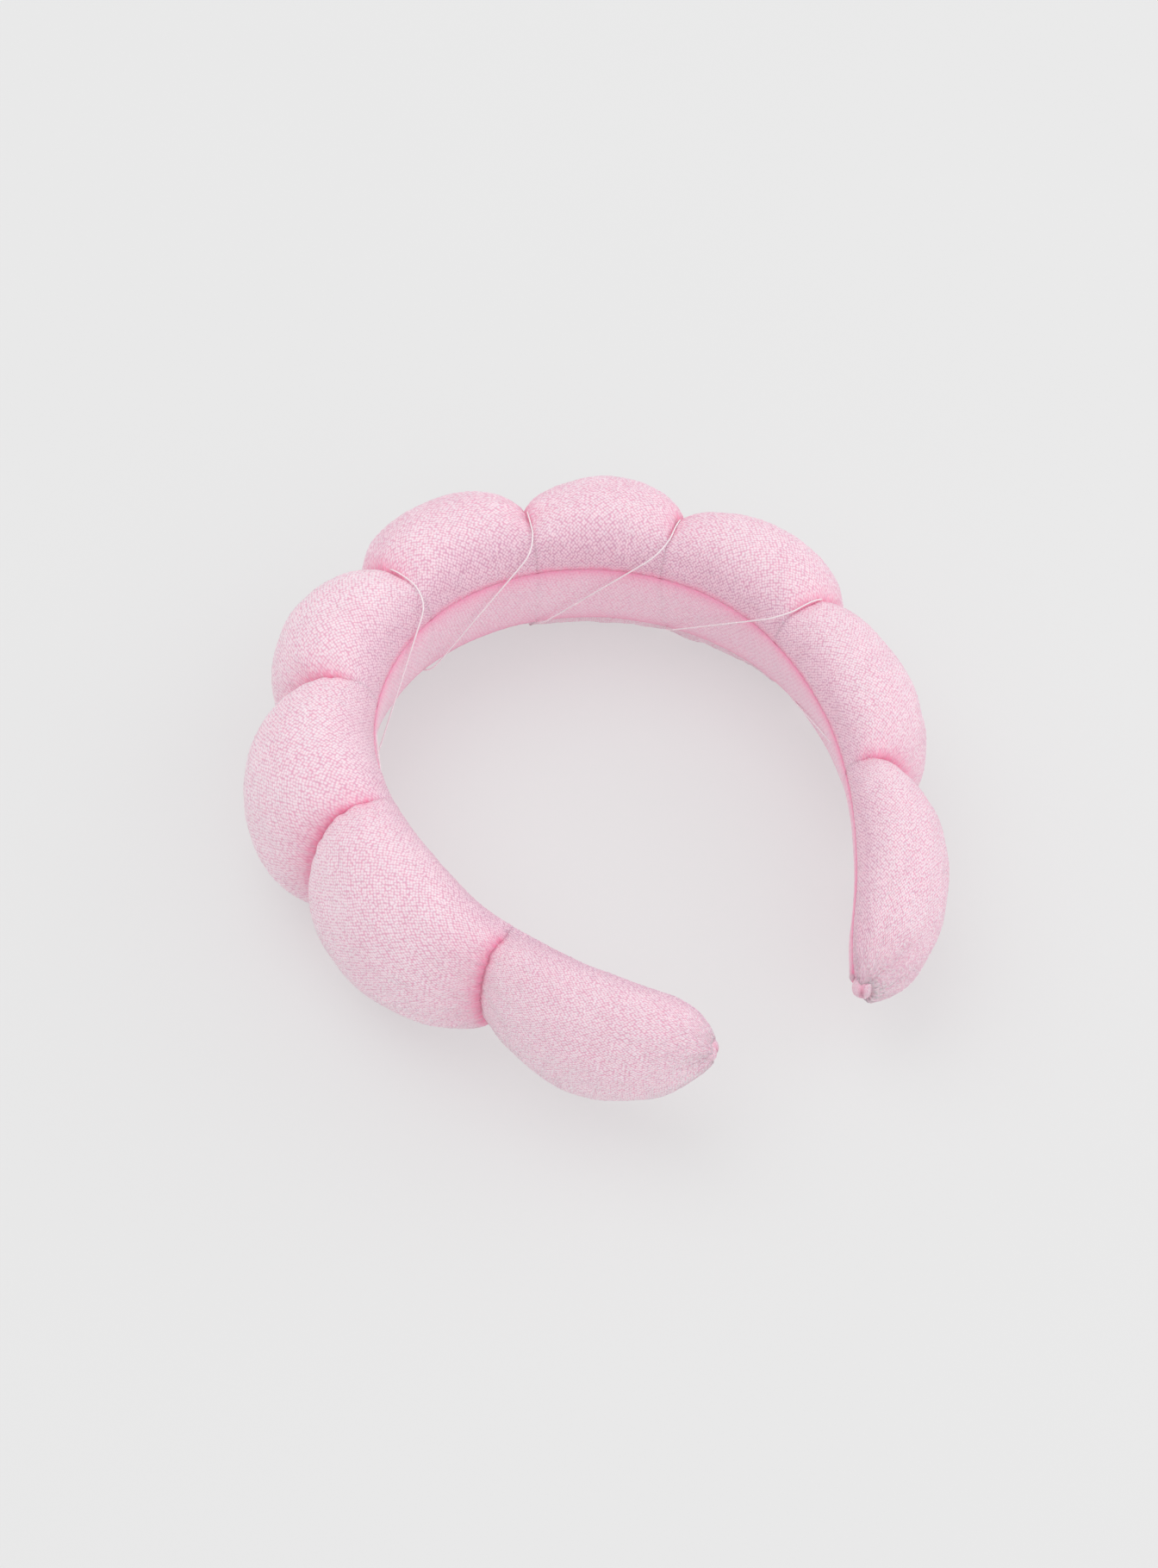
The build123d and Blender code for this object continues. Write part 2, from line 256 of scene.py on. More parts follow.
def closed_faces(rows, columns, flip):
    """Faces of a round grid, and a fan at each end to one of the two points that follow the grid's own."""
    faces = grid_faces(rows, columns, True, flip)
    first = rows * columns
    final = (rows - 1) * columns
    for j in range(columns):
        k = (j + 1) % columns
        pair = [(first, k, j), (first + 1, final + j, final + k)]
        faces += [face[::-1] if flip else face for face in pair]
    return faces


# ------------------------------------------------------------------ materials
def srgb(r, g, b):
    """Colour for a node, from the usual values of 0 to 255."""
    linear = [((c / 255 + 0.055) / 1.055) ** 2.4 if c > 10 else c / 3294.6 for c in (r, g, b)]
    return (*linear, 1.0)


class Nodes:
    """Short way to put nodes into a material."""

    def __init__(self, name):
        self.material = bpy.data.materials.new(name)
        self.material.use_nodes = True
        self.tree = self.material.node_tree
        self.shader = self.tree.nodes["Principled BSDF"]

    def add(self, kind, inputs=None, **settings):
        """Node with settings, and with inputs given as values or as other nodes' outputs."""
        node = self.tree.nodes.new(kind)
        for key, value in settings.items():
            setattr(node, key, value)
        for key, value in (inputs or {}).items():
            self.give(node.inputs[key], value)
        return node

    def give(self, socket, value):
        """Set an input to a value, or link an output to it."""
        if isinstance(value, bpy.types.NodeSocket):
            self.tree.links.new(value, socket)
        else:
            socket.default_value = value

    def math(self, kind, a, b=0.5, c=0.5):
        """Output of a sum of up to three values."""
        return self.add("ShaderNodeMath", {0: a, 1: b, 2: c}, operation=kind).outputs[0]

    def span(self, value, low, high, to_low=0.0, to_high=1.0):
        """Output that moves a value from one range to another."""
        inputs = {"Value": value, "From Min": low, "From Max": high, "To Min": to_low, "To Max": to_high}
        return self.add("ShaderNodeMapRange", inputs).outputs["Result"]

    def mix(self, factor, a, b):
        """Output that blends two colours."""
        node = self.add("ShaderNodeMix", data_type="RGBA")
        for socket, value in zip((node.inputs[0], node.inputs[6], node.inputs[7]), (factor, a, b)):
            self.give(socket, value)
        return node.outputs[2]


def terry(name, light, deep, shade, crease, slant, row_share):
    """Looped towelling: staggered loops in rows, deeper pink between them, and painted shade in the creases.

    The mesh carries three values for it: weave places the loops, a crease value is 1 in a crease and along a
    seam, where painted shade turns the colour to the crease pink, and wall is 1 on the inner wall, where a
    painted shade darkens it to mauve.
    """
    n = Nodes(name)
    weave = n.add("ShaderNodeAttribute", attribute_name="weave").outputs["Vector"]
    cavity_shade = n.add("ShaderNodeAttribute", attribute_name="cavity_shade").outputs["Fac"]
    place = n.add("ShaderNodeTexCoord").outputs["Object"]
    wander = n.add("ShaderNodeTexNoise", {"Vector": weave, "Scale": 0.14, "Detail": 2.0}).outputs["Color"]
    wander = n.add("ShaderNodeVectorMath", {0: wander, 1: (0.5, 0.5, 0.5)}, operation="SUBTRACT").outputs[0]
    wander = n.add("ShaderNodeVectorMath", {0: wander, "Scale": 0.9}, operation="SCALE").outputs[0]
    at = n.add("ShaderNodeVectorMath", {0: weave, 1: wander}, operation="ADD").outputs[0]
    at = n.add("ShaderNodeMapping", {"Vector": at, "Rotation": (0, 0, slant)}).outputs[0]
    cells = n.add("ShaderNodeTexVoronoi", {"Vector": at, "Scale": 1.0, "Randomness": 0.46},
                  voronoi_dimensions="2D", feature="SMOOTH_F1")
    cells.inputs["Smoothness"].default_value = 0.35
    loop = n.span(cells.outputs["Distance"], 0.22, 0.66, 1.0, 0.0)
    rows = n.add("ShaderNodeTexWave", {"Vector": at, "Scale": 0.55, "Distortion": 1.6, "Detail": 1.0,
                                       "Detail Scale": 1.5}, wave_type="BANDS", bands_direction="DIAGONAL")
    fibre = n.add("ShaderNodeTexNoise", {"Vector": at, "Scale": 3.2, "Detail": 4.0,
                                         "Roughness": 0.7}).outputs["Fac"]
    patch = n.add("ShaderNodeTexNoise", {"Vector": place, "Scale": 85.0, "Detail": 2.0}).outputs["Fac"]
    clump = n.add("ShaderNodeTexNoise", {"Vector": at, "Scale": 0.42, "Detail": 2.0,
                                         "Roughness": 0.6}).outputs["Fac"]
    height = n.math("MULTIPLY_ADD", rows.outputs["Fac"], row_share, loop)
    height = n.math("MULTIPLY_ADD", n.math("SUBTRACT", clump, 0.5), 0.7, height)
    height = n.math("MULTIPLY_ADD", n.math("SUBTRACT", fibre, 0.5), 0.55, height)
    pale = n.span(height, 0.10, 1.05 + row_share)
    pale = n.math("MULTIPLY_ADD", n.math("SUBTRACT", patch, 0.5), 0.28, pale)
    pale = n.add("ShaderNodeClamp", {"Value": pale}).outputs[0]
    # Painted shade: on the inner wall the gaps take the shade colour and the pale loops lean towards the deep
    # pink; in creases and along the seams the colour turns to the crease pink.
    wall = n.add("ShaderNodeAttribute", attribute_name="wall").outputs["Fac"]
    gap = n.mix(wall, deep, shade)
    colour = n.mix(pale, gap, n.mix(n.math("MULTIPLY", wall, 0.30), light, deep))
    colour = n.mix(cavity_shade, colour, crease)
    n.give(n.shader.inputs["Base Color"], colour)
    n.give(n.shader.inputs["Roughness"], n.span(fibre, 0.3, 0.7, 0.86, 0.98))
    bump = n.add("ShaderNodeBump", {"Height": height, "Strength": 0.55, "Distance": 0.00022})
    n.give(n.shader.inputs["Normal"], bump.outputs[0])
    n.shader.inputs["Specular IOR Level"].default_value = 0.12
    n.shader.inputs["Sheen Weight"].default_value = 0.45
    n.shader.inputs["Sheen Roughness"].default_value = 0.50
    n.shader.inputs["Sheen Tint"].default_value = srgb(255, 240, 245)
    n.shader.inputs["Subsurface Weight"].default_value = 0.22
    n.shader.inputs["Subsurface Radius"].default_value = (0.9, 0.45, 0.5)
    n.shader.inputs["Subsurface Scale"].default_value = 0.0035
    return n.material


def plastic(name):
    """White plastic with a trace of flow lines."""
    n = Nodes(name)
    place = n.add("ShaderNodeTexCoord").outputs["Object"]
    flow = n.add("ShaderNodeTexNoise", {"Vector": place, "Scale": 160.0, "Detail": 3.0}).outputs["Fac"]
    n.give(n.shader.inputs["Base Color"], n.mix(flow, srgb(226, 226, 224), srgb(242, 241, 238)))
    n.give(n.shader.inputs["Roughness"], n.span(flow, 0.3, 0.7, 0.32, 0.5))
    bump = n.add("ShaderNodeBump", {"Height": flow, "Strength": 0.2, "Distance": 0.0001})
    n.give(n.shader.inputs["Normal"], bump.outputs[0])
    return n.material


def sewing(name):
    """Twisted pink sewing thread."""
    n = Nodes(name)
    place = n.add("ShaderNodeTexCoord").outputs["Object"]
    twist = n.add("ShaderNodeTexWave", {"Vector": place, "Scale": 1400.0, "Distortion": 2.0},
                  bands_direction="DIAGONAL").outputs["Fac"]
    n.give(n.shader.inputs["Base Color"], n.mix(twist, srgb(226, 150, 178), srgb(244, 186, 206)))
    n.give(n.shader.inputs["Roughness"], n.span(twist, 0.0, 1.0, 0.6, 0.8))
    bump = n.add("ShaderNodeBump", {"Height": twist, "Strength": 0.5, "Distance": 0.00005})
    n.give(n.shader.inputs["Normal"], bump.outputs[0])
    return n.material


def elastic(name):
    """Clear stretch thread: milky core, glossy skin."""
    n = Nodes(name)
    place = n.add("ShaderNodeTexCoord").outputs["Object"]
    cloud = n.add("ShaderNodeTexNoise", {"Vector": place, "Scale": 900.0, "Detail": 2.0}).outputs["Fac"]
    n.give(n.shader.inputs["Base Color"], n.mix(cloud, srgb(250, 236, 241), srgb(255, 248, 250)))
    n.give(n.shader.inputs["Roughness"], n.span(cloud, 0.3, 0.7, 0.16, 0.3))
    bump = n.add("ShaderNodeBump", {"Height": cloud, "Strength": 0.15, "Distance": 0.00005})
    n.give(n.shader.inputs["Normal"], bump.outputs[0])
    n.shader.inputs["Transmission Weight"].default_value = 0.10
    n.shader.inputs["IOR"].default_value = 1.45
    return n.material


def floor_paper(name):
    """Plain pale studio paper, lifted a little by its own light."""
    n = Nodes(name)
    place = n.add("ShaderNodeTexCoord").outputs["Object"]
    grain = n.add("ShaderNodeTexNoise", {"Vector": place, "Scale": 9.0, "Detail": 3.0}).outputs["Fac"]
    n.give(n.shader.inputs["Base Color"], n.mix(grain, srgb(158, 158, 158), srgb(160, 160, 160)))
    n.shader.inputs["Emission Color"].default_value = (1.0, 1.0, 1.0, 1.0)
    n.shader.inputs["Emission Strength"].default_value = 0.44
    n.give(n.shader.inputs["Roughness"], n.span(grain, 0.0, 1.0, 0.85, 0.95))
    n.shader.inputs["Specular IOR Level"].default_value = 0.2
    return n.material


# shade and crease are painted shade: the mauve of the shaded inner wall, and the deep pink of the creases and
# the seam valleys.
COVER = terry("terry_cover", light=srgb(252, 233, 240), deep=srgb(234, 176, 200), shade=srgb(216, 166, 191),
              crease=srgb(252, 158, 190), slant=0.0, row_share=0.0)
LINING = terry("terry_lining", light=srgb(255, 234, 242), deep=srgb(242, 186, 209), shade=srgb(206, 150, 178),
               crease=srgb(252, 162, 194), slant=0.5, row_share=0.55)
HOOP = plastic("hoop_plastic")
SEWING = sewing("sewing_thread")
ELASTIC = elastic("elastic_thread")


# ------------------------------------------------------------------ the padded puffs
def section_sizes(side, row, t):
    """Thickness, height and lining's width at places t along a puff."""
    inside = np.clip(t, 0, 1)
    if row == LAST:
        sizes = []
        for table in (TIP_THICK[side], TIP_HEIGHT[side], TIP_BAND):
            rough = np.interp(np.linspace(0, 1, TIP_FINE), TIP_AT, table)
            rough = np.pad(rough, TIP_SMOOTH // 2, "edge")
            soft = np.convolve(rough, np.ones(TIP_SMOOTH) / TIP_SMOOTH, "valid")
            soft[0] = table[0]
            sizes.append(cubic(soft, inside * (TIP_FINE - 1), False))
        return sizes
    # mostly a blunt swelling, with some of a rounder one
    swell = (1 - np.abs(2 * inside - 1) ** BLUNT) ** (1 / BLUNT) * 0.75
    swell += np.sin(math.pi * inside) ** 0.73 * 0.25
    ease = inside ** 2 * (3 - 2 * inside)
    taper = 1 - TAPER.get((side, row), 0.0) * (inside - 0.4)
    full = (PUFF_THICK[row] - SLIMMER.get((side, row), 0.0)) * taper, PUFF_HEIGHT[row] * taper
    ends = pinch_size(side, row - 1) if row else pinch_size(-side, 0), pinch_size(side, row)
    thick, height = [a + (b - a) * ease + (most - a - (b - a) * ease) * swell
                     for a, b, most in zip(*ends, full)]
    return thick, height, np.full_like(thick, PINCH[2])


def sections(thick, height, band, columns):
    """Outline of the padding at each row: out and up, from the upper seam round to the lower one and back.

    The inner walls are quarters of rounded squares, the outer side is half an ellipse, and the back is flat.
    """
    sleeve = int(columns * SEAM_SHARE)
    rest = columns - sleeve
    rows = []
    for t, h, b in zip(thick, height, band):
        middle = SEAM_IN + WAIST * t
        quarters = []
        for square in SQUARE:
            seam = (b / h) ** (1 / square)
            inner = (middle - SEAM_IN) / (1 - seam ** 2) ** (square / 2)
            angle = np.linspace(math.asin(seam), math.pi / 2, 120)
            quarters.append((middle - inner * np.cos(angle) ** square, h / 2 * np.sin(angle) ** square))
        angle = np.linspace(math.pi / 2, -math.pi / 2, 180)[1:-1]
        outer = (middle + (SEAM_IN + t - middle) * np.cos(angle), h / 2 * np.sin(angle))
        out = np.concatenate([quarters[0][0], outer[0], quarters[1][0][::-1]])
        up = np.concatenate([quarters[0][1], outer[1], -quarters[1][1][::-1]])
        run = np.concatenate([[0], np.cumsum(np.hypot(np.diff(out), np.diff(up)))])
        at = np.linspace(0, run[-1], sleeve)
        back = np.linspace(-1, 1, rest + 2)[1:-1]
        flat = LINING_BACK + (SEAM_IN - LINING_BACK) * np.abs(back) ** 6 * 0.6
        rows.append(np.stack([np.concatenate([np.interp(at, run, out), flat]),
                              np.concatenate([np.interp(at, run, up), back * b / 2])], -1))
    return np.array(rows)


def rounded(values, amount):
    """Keep values above zero, turning softly where they meet it."""
    return amount * np.logaddexp(0, values / amount)


def closing(row, t):
    """Share of its size that a tip puff still has at a place along it, as its end rounds off."""
    begin, close = TIP_ROUND
    part = np.clip((np.asarray(t) - begin) / (close - begin), 0, 1)
    return np.sqrt(1 - part ** 2) if row == LAST else np.ones_like(part)


def lean(side, row, t, out, up, band, thick):
    """Distance out, once the inner face has been leaned and pushed and the tip rounded off."""
    middle = SEAM_IN + TIP_NOSE[side]
    out = middle + (out - middle) * closing(row, t)
    station = side * (np.asarray(t) - 0.5 + row)
    below = rounded(band / 2 - up, LEAN_SOFT)
    shift = np.interp(station, ALONG, LEAN) * below - np.interp(station, ALONG, PUSHED)
    return out + shift * np.clip(1 - (out - SEAM_IN) / (LEAN_DEEP * thick), 0, 1)


def wall_run(row, t):
    """How far up from the seam the inner wall runs straight on past a pinch."""
    return np.interp(np.abs(np.asarray(t) - 0.5 + row), (1.5, LAST - 0.5), WALL_RUN)


def puff_points(side, row, t, columns):
    """Grid of points on a puff, before it swells: a row for each place along it, columns round it."""
    thick, height, band = section_sizes(side, row, t)
    outline = sections(thick, height, band, columns)
    fade = np.ones_like(t)
    if row == LAST:
        fade = 1 - np.clip(t / 0.5, 0, 1)
    ease = fade ** 2 * (3 - 2 * fade)
    wall = sections(thick + (WALL[0] - thick) * ease, height + (WALL[1] - height) * ease, band, columns)
    sleeve = int(columns * SEAM_SHARE)
    column = np.arange(columns)
    away = np.minimum(column, np.abs(sleeve - 1 - column)) * SLEEVE_ROUND / sleeve
    part = np.clip(away[None, :] / wall_run(row, t)[:, None], 0, 1)
    part = (part ** 2 * (3 - 2 * part))[..., None]
    outline = wall + (outline - wall) * part
    outline[..., 0] = lean(side, row, t[:, None], outline[..., 0], outline[..., 1],
                           band[:, None], thick[:, None])
    point, out, _ = path(side, row, t)
    points = point[:, None] + out[:, None] * outline[..., :1]
    points[..., 2] += outline[..., 1] * closing(row, t)[:, None]
    if row == LAST:
        points[..., 2] += TIP_RISE[side] * t[:, None] ** 2
    return points


PUFFS = [(1, 0)] + [(side, row) for side in (1, -1) for row in range(1, LAST + 1)]


def inflate():
    """Cloth simulation of all the sleeves, tied at the pinches and along the seams, under pressure."""
    rows = np.linspace(0, 1, SIM_ROWS)
    sleeve = int(SIM_COLUMNS * SEAM_SHARE)
    started = []
    for side, row in PUFFS:
        points = puff_points(side, row, rows, SIM_COLUMNS)
        mesh = bpy.data.meshes.new("swelling")
        flat = points.reshape(-1, 3) * SIM_SCALE
        ends = [flat[:SIM_COLUMNS].mean(0), flat[-SIM_COLUMNS:].mean(0)]
        faces = closed_faces(SIM_ROWS, SIM_COLUMNS, side > 0)
        mesh.from_pydata([tuple(p) for p in list(flat) + ends], [], faces)
        obj = bpy.data.objects.new("swelling", mesh)
        bpy.context.scene.collection.objects.link(obj)
        pins = obj.vertex_groups.new(name="pins")
        held = [i for i in range(len(flat)) if i % SIM_COLUMNS >= sleeve - 1 or i % SIM_COLUMNS == 0]
        held += list(range(SIM_COLUMNS))
        held += list(range(len(flat) - SIM_COLUMNS, len(flat) + 2))
        pins.add(held, 1.0, "REPLACE")
        cloth = obj.modifiers.new("Cloth", "CLOTH")
        settings = cloth.settings
        settings.quality = 8
        settings.mass = 0.3
        settings.tension_stiffness = settings.compression_stiffness = 6
        settings.shear_stiffness = 3
        settings.bending_stiffness = 0.4
        settings.vertex_group_mass = "pins"
        settings.use_pressure = True
        settings.uniform_pressure_force = 6.0
        settings.effector_weights.gravity = 0
        cloth.collision_settings.use_collision = False
        started.append((obj, points))
    scene = bpy.context.scene
    for number in range(1, SIM_STEPS + 1):
        scene.frame_set(number)
    graph = bpy.context.evaluated_depsgraph_get()
    moves = {}
    for (side, row), (obj, points) in zip(PUFFS, started):
        done = obj.evaluated_get(graph).data
        place = np.empty(len(done.vertices) * 3, np.float32)
        done.vertices.foreach_get("co", place)
        place = place.reshape(-1, 3)[:points.size // 3].reshape(points.shape) / SIM_SCALE
        move = place - points
        size = np.linalg.norm(move, axis=-1, keepdims=True)
        moves[side, row] = move * np.minimum(1, SWELL_CAP / np.maximum(size, 1e-9))
        print("swelled", side, row, "up to", round(float(size.max()) * 1000, 2), "mm")
    for obj, _ in started:
        mesh = obj.data
        bpy.data.objects.remove(obj)
        bpy.data.meshes.remove(mesh)
    scene.frame_set(1)
    return moves


MOVES = inflate()


def puff(side, row):
    """One terry puff: swollen, gathered at its ends, looped all over and closed."""
    name = body_name(side, row)
    seed = 11 + 7 * PUFFS.index((side, row))
    length = length_of(side, row)
    rows = int(length / STEP) // 2 * 2 + 1
    lap = LAP / length
    t = np.linspace(-lap, 1 if row == LAST else 1 + lap, rows)
    points = puff_points(side, row, t, COLUMNS)
    sleeve = int(COLUMNS * SEAM_SHARE)
    column = np.arange(COLUMNS)[None, :]
    from_seam = np.minimum(column, np.abs(sleeve - 1 - column)) * STEP
    if MOVES:
        share = SWELL_LEAST + (1 - SWELL_LEAST) * np.clip(from_seam / SWELL_RUN, 0, 1) ** 1.3
        points = points + spread(MOVES[side, row], rows, COLUMNS) * share[..., None]
    to_start = np.broadcast_to(t[:, None] * length, (rows, COLUMNS))
    to_pinch = np.maximum(to_start if row == LAST else np.minimum(to_start, length - to_start), 0)
    free = (column < sleeve) * np.clip(from_seam / 0.004, 0, 1)
    # broad unevenness of the filling, gathers that run out of each pinch, and the loops
    run = wall_run(row, t)[:, None]
    gathered = 0.05 + 0.95 * np.clip((from_seam - 0.75 * run) / 0.006, 0, 1)
    bumps = 0.0005 * lumps(seed, rows, COLUMNS, (5, 11)) + 0.00018 * lumps(seed + 1, rows, COLUMNS, (11, 40))
    bumps = bumps * np.clip(to_pinch / 0.004, 0, 1)
    folds = lumps(seed + 2, rows, COLUMNS, (3, 64)) * np.exp(-to_pinch / 0.003) * 0.00030 * gathered
    normal = normals_of(points) * -side
    points = points + normal * ((bumps + folds) * free)[..., None]
    valley = -0.0002 * np.exp(-(from_seam / 0.0011) ** 2) * (column < sleeve)
    points = points + normal * valley[..., None]
    random = np.random.RandomState(seed + 3)
    index = np.arange(rows)[:, None] + column
    loops = (index % 2 == 0) * random.uniform(0.4, 1.4, (rows, COLUMNS)) * LOOP
    loops = loops + random.uniform(-1, 1, (rows, COLUMNS)) * FUZZ
    points = points + normal * (loops * (column < sleeve))[..., None]
    points[..., 2] = rounded(points[..., 2], FLOOR_SOFT)
    # what the material needs: painted crease shade, strongest deep in a crease at each pinch and in the seam
    # valley, in random spots; where the loops are; and painted shade on the inner wall
    cavity_shade = (np.exp(-to_pinch / 0.0010) * 0.85 + np.exp(-to_pinch / 0.0035) * 0.25) * gathered
    cavity_shade = cavity_shade + 0.85 * np.exp(-(from_seam / 0.0013) ** 2) + 0.12 * np.exp(-from_seam / 0.006)
    cavity_shade = np.clip(cavity_shade * random.uniform(0.45, 1.25, (rows, COLUMNS)), 0, 1)
    weave = np.stack([index / 2, (np.arange(rows)[:, None] - column) / 2,
                      np.full((rows, COLUMNS), seed * 1.0)], -1)
    over_seam = column * STEP
    # painted shade on the inner wall: full from 2 to 7 mm above the upper seam, gone at 16 mm, with lumps
    wall = np.clip(over_seam / 0.002, 0, 1) * (1 - np.clip((over_seam - 0.007) / 0.009, 0, 1))
    wall = np.clip(wall + 0.15 * lumps(seed + 4, rows, COLUMNS, (6, 24)) * wall, 0, 1)
    attributes = {
        "wall": np.concatenate([wall.ravel(), [0, 0]]),
        "cavity_shade": np.concatenate([cavity_shade.ravel(), [1, 1]]),
        "weave": np.concatenate([weave.reshape(-1, 3), [[0, 0, 0], [0, 0, 0]]]),
    }
    caps = [points[0].mean(0), points[-1].mean(0)]
    faces = closed_faces(rows, COLUMNS, side > 0)
    piece = make_piece(f"puff_{name}", list(points.reshape(-1, 3)) + caps, faces, name, COVER,
                       attributes)
    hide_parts(f"cover_{name}", f"foam_{name}")


for side, row in PUFFS:
    puff(side, row)


# ------------------------------------------------------------------ lining
def lining(side, row):
    """Strip of terry that faces the head: a softly swollen face, a flat back and a rim between them."""
    name = body_name(side, row)
    seed = 301 + 5 * PUFFS.index((side, row))
    length = length_of(side, row)
    over = LINING_LAP / length
    t = np.linspace(-over, LINING_END if row == LAST else 1 + over, int(length / STEP))
    band = section_sizes(side, row, t)[2]
    w = np.linspace(-1, 1, 61)
    rows, columns = len(t), len(w)
    point, out, _ = path(side, row, t)
    inside = np.minimum(t, 1 if row == LAST else 1 - t)[:, None] * length
    sink = np.clip(-inside / 0.001, 0, 1) * 0.0001
    swell = LINING_SWELL * (1 - np.abs(w) ** 4)
    swell = swell + 0.00012 * lumps(seed, rows, columns, (6, 7), False) * np.clip(inside / 0.006, 0, 1)
    swell = swell + np.random.RandomState(seed).uniform(-1, 1, (rows, columns)) * 0.75 * FUZZ
    if row == LAST:
        band = band * (0.35 + 0.65 * np.clip((LINING_END - t) / 0.05, 0, 1) ** 0.5)
    up = w[None, :] * band[:, None] / 2 * closing(row, t)[:, None]
    layers = []
    for surface in (SEAM_IN - 0.0001 - swell + sink, np.full((rows, columns), LINING_BACK)):
        away = lean(side, row, t[:, None], surface, up, band[:, None], PINCH[0])
        layer = point[:, None] + out[:, None] * away[..., None]
        layer[..., 2] += up + (TIP_RISE[side] * t[:, None] ** 2 if row == LAST else 0)
        layers.append(layer)
    count = rows * columns
    faces = grid_faces(rows, columns, False, side > 0)
    faces += [tuple(v + count for v in face[::-1]) for face in faces]
    rim = list(range(columns))
    rim += [i * columns + columns - 1 for i in range(1, rows)]
    rim += [(rows - 1) * columns + j for j in range(columns - 2, -1, -1)]
    rim += [i * columns for i in range(rows - 2, 0, -1)]
    for a, b in zip(rim, rim[1:] + rim[:1]):
        quad = (b, a, a + count, b + count)
        faces.append(quad[::-1] if side > 0 else quad)
    points = np.concatenate([layer.reshape(-1, 3) for layer in layers])
    points[:, 2] = rounded(points[:, 2], FLOOR_SOFT)
    # painted shade: the crease pink grows towards both edges of the strip, in the seam valleys
    edge = (1 - np.abs(w)) * PINCH[2] / 2
    cavity_shade = 0.80 * np.exp(-edge / 0.0020) + 0.20 * np.exp(-edge / 0.006)
    cavity_shade = np.broadcast_to(cavity_shade, (rows, columns)).ravel()
    i, j = np.meshgrid(np.arange(rows), np.arange(columns), indexing="ij")
    weave = np.stack([i / 2, j / 2, np.full((rows, columns), seed * 1.0)], -1).reshape(-1, 3)
    attributes = {"cavity_shade": np.concatenate([cavity_shade, cavity_shade]), "weave": np.concatenate([weave, weave])}
    piece = make_piece(f"inner_band_{name}", points, faces, name, LINING, attributes)
    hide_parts(f"lining_{name}")


for side, row in PUFFS:
    lining(side, row)


# ------------------------------------------------------------------ hoop
def spot(side, row, t, out, up, thick=PINCH[0]):
    """Point at a place along a puff, out and up from the middle of the hoop, leaned like the inner face."""
    band = section_sizes(side, row, np.array([t]))[2][0]
    point, outward, _ = path(side, row, t)
    rise = TIP_RISE[side] * t ** 2 if row == LAST else 0
    out = lean(side, row, t, out, up, band, thick)
    up = up * closing(row, t)
    return point + outward * out + np.array([0, 0, up + rise])


def hoop(side, row):
    """Springy strip with rounded edges inside each puff."""
    name = body_name(side, row)
    t = np.linspace(0.004, 0.86 if row == LAST else 0.996, 60)
    turn = np.linspace(0, 2 * math.pi, 28, endpoint=False)
    across = np.sign(np.cos(turn)) * np.abs(np.cos(turn)) ** 0.55 * HOOP_HALF
    height = np.sin(turn) * HOOP_WIDE
    rows = []
    for place in t:
        narrow = 1 - 0.55 * max(0, (place - 0.5) / 0.36) ** 2 if row == LAST else 1
        rows.append([spot(side, row, place, o, z * narrow) for o, z in zip(across, height)])
    points = np.array(rows)
    count = points.shape[0] * points.shape[1]
    faces = grid_faces(len(t), len(turn), True, side > 0)
    ends = [tuple(range(len(turn)))[::-1], tuple(range(count - len(turn), count))]
    faces += [end[::-1] if side > 0 else end for end in ends]
    piece = make_piece(f"strip_{name}", points.reshape(-1, 3), faces, name, HOOP)
    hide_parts(f"hoop_{name}")


for side, row in PUFFS:
    hoop(side, row)


# ------------------------------------------------------------------ threads
def tube(path_points, radius, sides=10):
    """Points and faces of a round thread along a path, closed with domed ends."""
    way = np.array(path_points, float)
    heading = np.gradient(way, axis=0)
    heading /= np.maximum(np.linalg.norm(heading, axis=1, keepdims=True), 1e-12)
    normal = np.cross(heading[0], (0.3, 0.2, 1.0))
    normal /= np.linalg.norm(normal)
    rings = []
    for k, (place, ahead) in enumerate(zip(way, heading)):
        normal = normal - ahead * (normal @ ahead)
        normal /= np.linalg.norm(normal)
        other = np.cross(ahead, normal)
        stations = ((0, 1.0),)
        if k == 0:
            stations = ((-0.9, 0.35), (-0.6, 0.75), (0, 1.0))
        elif k == len(way) - 1:
            stations = ((0, 1.0), (0.6, 0.75), (0.9, 0.35))
        for step, size in stations:
            turn = np.linspace(0, 2 * math.pi, sides, endpoint=False)[:, None]
            round_it = np.cos(turn) * normal + np.sin(turn) * other
            rings.append(place + ahead * step * radius + radius * size * round_it)
    points = np.array(rings).reshape(-1, 3)
    faces = grid_faces(len(rings), sides, True, False)
    faces += [tuple(range(sides))[::-1], tuple(range(len(points) - sides, len(points)))]
    return points, faces


def merge(parts):
    """Points and faces of several tubes as one mesh."""
    points = []
    faces = []
    count = 0
    for more_points, more_faces in parts:
        points.append(more_points)
        faces += [tuple(v + count for v in face) for face in more_faces]
        count += len(more_points)
    return np.concatenate(points), faces


def stitches(side, row):
    """Sewing stitches that hold the lining down, in the valley along both of its edges."""
    name = body_name(side, row)
    length = length_of(side, row)
    first = 0.0022 / length
    last = LINING_END - 0.01 if row == LAST else 1 - first
    starts = np.arange(first, last, STITCH_PITCH / length)
    parts = []
    for up in (1, -1):
        for start in starts:
            way = []
            for part in np.linspace(0, 1, 7):
                t = min(start + part * STITCH / length, last)
                band = section_sizes(side, row, np.array([t]))[2][0]
                dip = 0.00045 * abs(2 * part - 1) ** 2
                way.append(spot(side, row, t, SEAM_IN + 0.00005 + dip, up * (band / 2 - 0.0001)))
            parts.append(tube(way, 0.00019, 8))
    points, faces = merge(parts)
    piece = make_piece(f"stitches_{name}", points, faces, name, SEWING)
    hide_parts(f"seam_thread_{name}")


